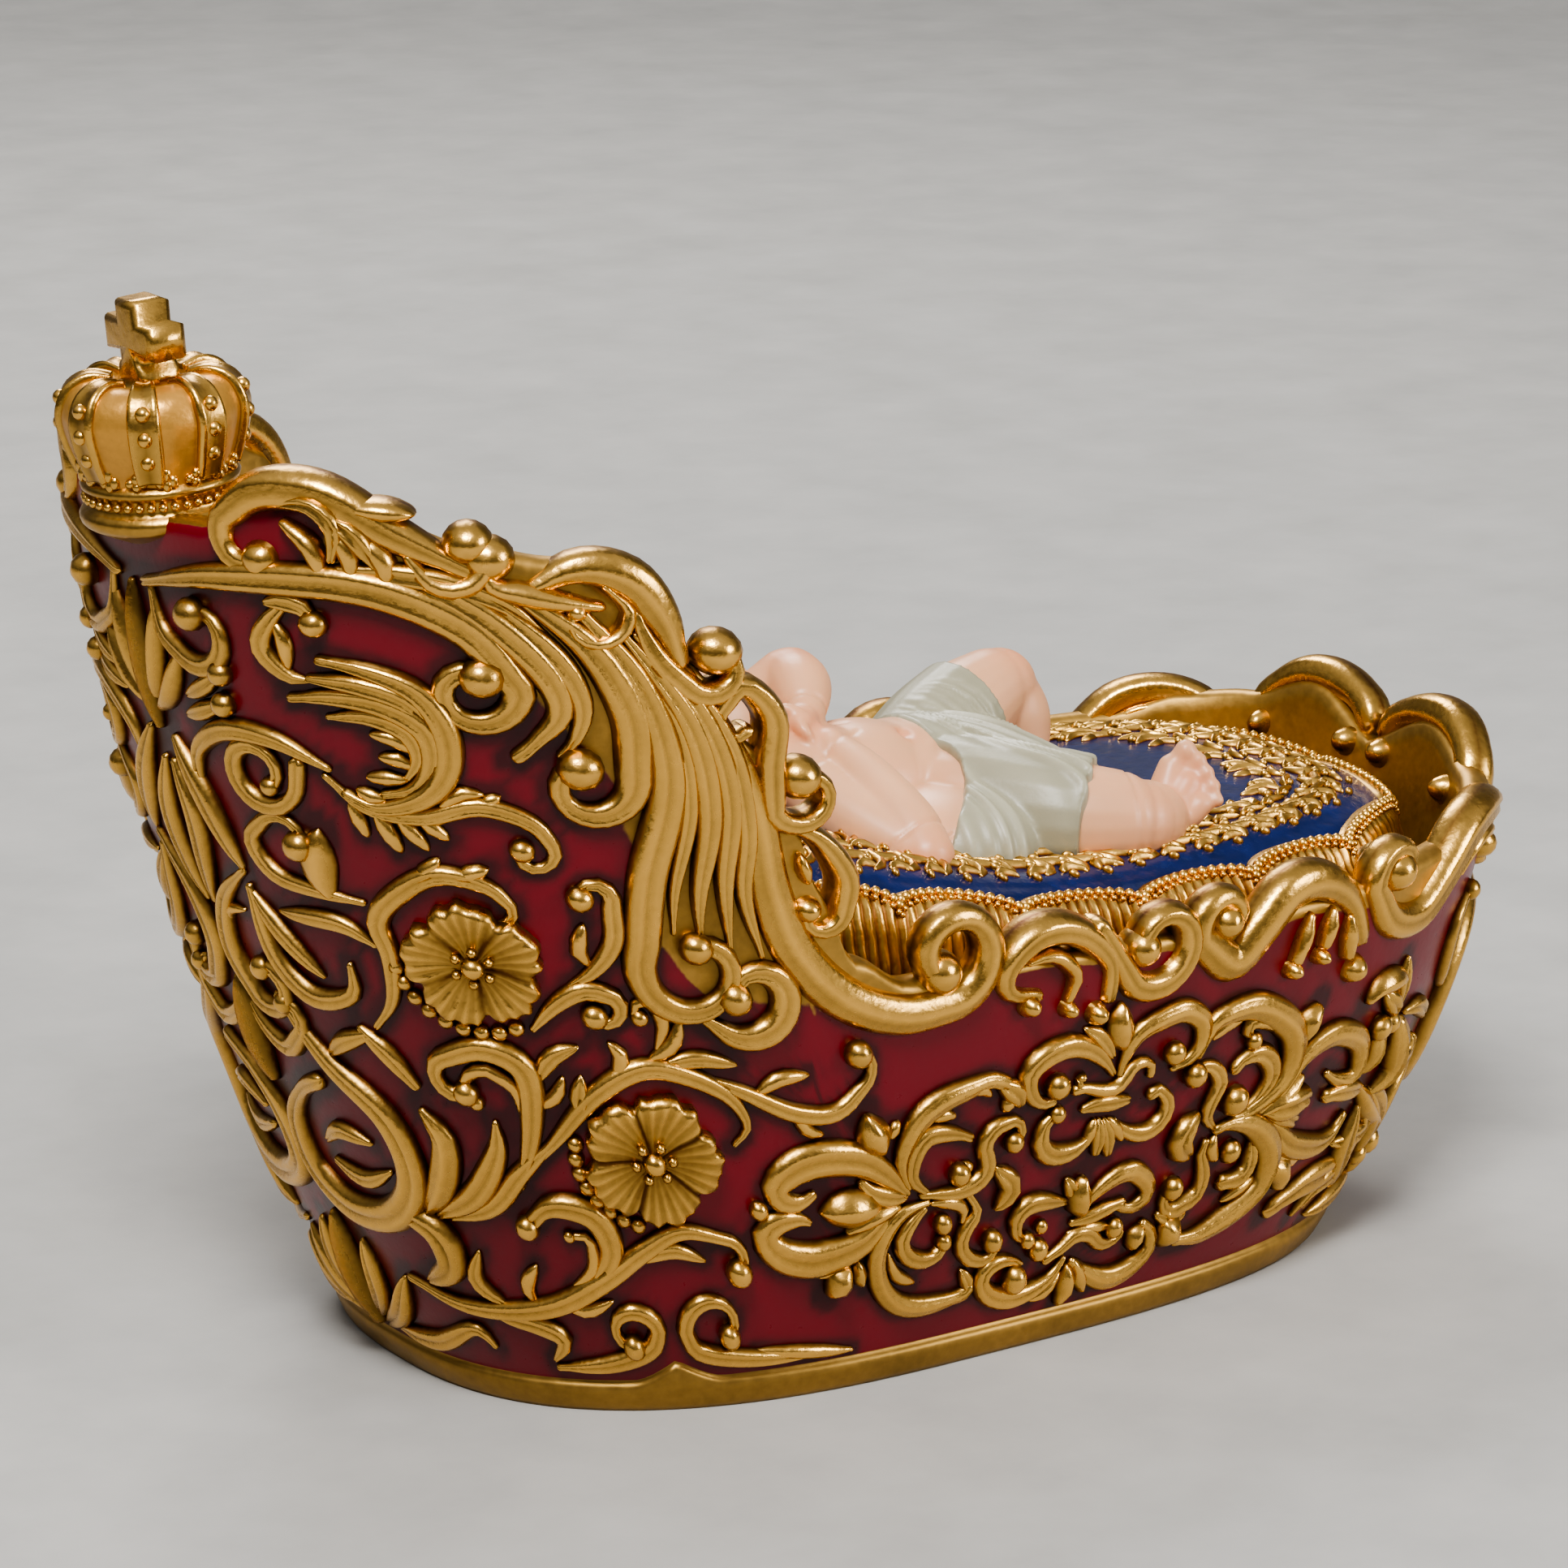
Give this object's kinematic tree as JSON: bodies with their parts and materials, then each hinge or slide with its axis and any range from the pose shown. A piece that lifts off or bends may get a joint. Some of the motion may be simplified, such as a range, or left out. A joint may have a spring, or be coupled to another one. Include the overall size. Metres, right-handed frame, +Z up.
{
  "type": "infant jesus in manger figurine",
  "caption": "Baroque red and gold cradle with scrolled rim, crowned headboard and carved flowers, holding an embroidered blue cushion and a reclining infant.",
  "frame": {"origin": "middle of the bounding box, on the flat underside", "axes": "+Z up, +X along the cradle from the crowned headboard to the foot, +Y across it to the infant's left"},
  "size_m": [0.2347, 0.1184, 0.1602],
  "materials": {
    "gilding": "antique gold paint, bright on the carving and dark brown in the hollows",
    "red_paint": "deep wine red satin paint on the ground between the carving",
    "crown_panels": "smooth pale gold paint between the crown's arches",
    "blue_cloth": "glossy deep blue paint on the cushion",
    "gold_thread": "bright gold paint on the raised embroidery and the lace skirt",
    "skin": "satin flesh paint, a little redder at the joints",
    "loincloth": "pearly grey green paint",
    "hair": "matt brown paint"
  },
  "bodies": {
    "root": {"cradle": "gilding", "cushion": "blue_cloth", "infant": "skin"}
  },
  "joints": []
}
